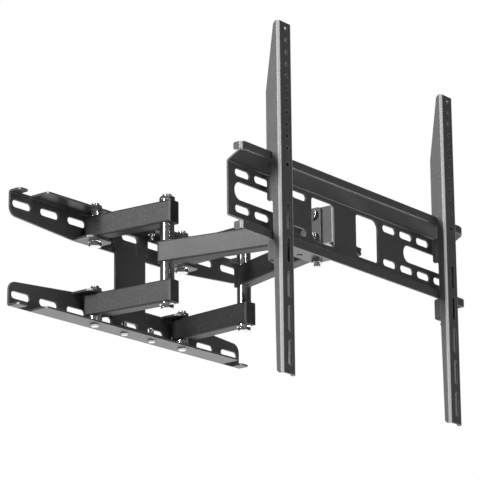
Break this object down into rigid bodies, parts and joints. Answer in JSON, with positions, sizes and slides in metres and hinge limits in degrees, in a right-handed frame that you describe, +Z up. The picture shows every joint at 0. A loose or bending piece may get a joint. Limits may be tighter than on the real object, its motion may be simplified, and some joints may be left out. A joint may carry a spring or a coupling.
{
  "type": "tv wall mount",
  "caption": "Full-motion television wall mount: slotted wall rails, folding twin arms, tilting slotted crossbar and upright brackets that hook onto it.",
  "frame": {"origin": "middle of the wall slots on the rails' back faces, which lie against the wall", "axes": "+X to the right along the wall as seen from the room, +Y into the wall, +Z up"},
  "size_m": [0.4644, 0.3999, 0.43],
  "materials": {
    "black_coat": "satin black powder coat",
    "arm_coat": "fine textured charcoal powder coat",
    "zinc_steel": "bright zinc plate",
    "knob_plastic": "moulded black"
  },
  "bodies": {
    "wall_frame": {"upper_wall_rail": "black_coat", "lower_wall_rail": "black_coat", "centre_plate": "black_coat", "plate_screws": "zinc_steel", "plate_nuts": "zinc_steel", "wall_pivot_bolts": "zinc_steel", "wall_pivot_nuts": "zinc_steel", "wall_pivot_washers": "zinc_steel", "wall_pivot_bushes": "zinc_steel"},
    "left_first_links": {"left_upper_first_link": "arm_coat", "left_lower_first_link": "arm_coat", "left_elbow_pin": "zinc_steel", "left_elbow_sleeves": "zinc_steel", "left_elbow_washers": "zinc_steel", "left_elbow_nut": "zinc_steel"},
    "left_second_arm": {"left_second_link": "arm_coat"},
    "yoke_head": {"yoke": "black_coat", "left_yoke_pin": "zinc_steel", "right_yoke_pin": "zinc_steel", "yoke_nuts": "zinc_steel", "yoke_washers": "zinc_steel", "tilt_fork": "black_coat", "tilt_pivot_bolt": "zinc_steel", "tilt_pivot_nut": "zinc_steel"},
    "tilt_head": {"tilt_bracket": "black_coat", "crossbar": "black_coat", "tilt_lock_nut": "zinc_steel"},
    "lock_handle": {"tilt_lock_bolt": "zinc_steel", "tilt_knob": "knob_plastic"},
    "left_tv_side": {"left_tv_bracket": "black_coat", "left_lock_plate": "black_coat"},
    "right_tv_side": {"right_tv_bracket": "black_coat", "right_lock_plate": "black_coat"},
    "left_lock": {"left_lock_screw": "zinc_steel"},
    "right_lock": {"right_lock_screw": "zinc_steel"},
    "right_first_links": {"right_upper_first_link": "arm_coat", "right_lower_first_link": "arm_coat", "right_elbow_pin": "zinc_steel", "right_elbow_sleeves": "zinc_steel", "right_elbow_washers": "zinc_steel", "right_elbow_nut": "zinc_steel"},
    "right_second_arm": {"right_second_link": "arm_coat"}
  },
  "joints": [
    {"name": "left_wall_pivot", "type": "hinge", "parent": "wall_frame", "child": "left_first_links", "pos_m": [-0.084, -0.0205, 0], "axis": [0, 0, 1], "range_deg": [-80, 0]},
    {"name": "left_elbow_pivot", "type": "hinge", "parent": "left_first_links", "child": "left_second_arm", "pos_m": [-0.07263, -0.13293, 0], "axis": [0, 0, 1], "range_deg": [0, 147]},
    {"name": "left_head_pivot", "type": "hinge", "parent": "left_second_arm", "child": "yoke_head", "pos_m": [-0.03418, -0.29441, 0], "axis": [0, 0, 1], "range_deg": [-67, 0]},
    {"name": "right_wall_pivot", "type": "hinge", "parent": "wall_frame", "child": "right_first_links", "pos_m": [0.084, -0.0205, 0], "axis": [0, 0, 1], "range_deg": [0, 86]},
    {"name": "right_elbow_pivot", "type": "hinge", "parent": "right_first_links", "child": "right_second_arm", "pos_m": [0.07629, -0.13324, 0], "axis": [0, 0, 1], "range_deg": [-144, 0]},
    {"name": "head_tilt", "type": "hinge", "parent": "yoke_head", "child": "tilt_head", "pos_m": [-0.00179, -0.32917, 0.02], "axis": [0.9992, 0.0391, 0], "range_deg": [-5, 15]},
    {"name": "lock_knob_turn", "type": "hinge", "parent": "tilt_head", "child": "lock_handle", "pos_m": [-0.00179, -0.32917, -0.008], "axis": [0.9992, 0.0391, 0], "range_deg": [-180, 180]},
    {"name": "left_bracket_slide", "type": "slide", "parent": "tilt_head", "child": "left_tv_side", "axis": [0.9992, 0.0391, 0], "range_m": [-0.045, 0.12]},
    {"name": "right_bracket_slide", "type": "slide", "parent": "tilt_head", "child": "right_tv_side", "axis": [0.9992, 0.0391, 0], "range_m": [-0.14, 0.025]},
    {"name": "left_lock_screw_travel", "type": "slide", "parent": "left_tv_side", "child": "left_lock", "axis": [0, 0, 1], "range_m": [-0.008, 0]},
    {"name": "right_lock_screw_travel", "type": "slide", "parent": "right_tv_side", "child": "right_lock", "axis": [0, 0, 1], "range_m": [-0.008, 0]}
  ],
  "couplings": [
    {"joint": "left_elbow_pivot", "follows": "left_wall_pivot", "ratio": -1.82},
    {"joint": "left_head_pivot", "follows": "left_wall_pivot", "ratio": 0.82},
    {"joint": "right_wall_pivot", "follows": "left_wall_pivot", "ratio": -1.0505},
    {"joint": "right_elbow_pivot", "follows": "left_wall_pivot", "ratio": 1.7803}
  ]
}
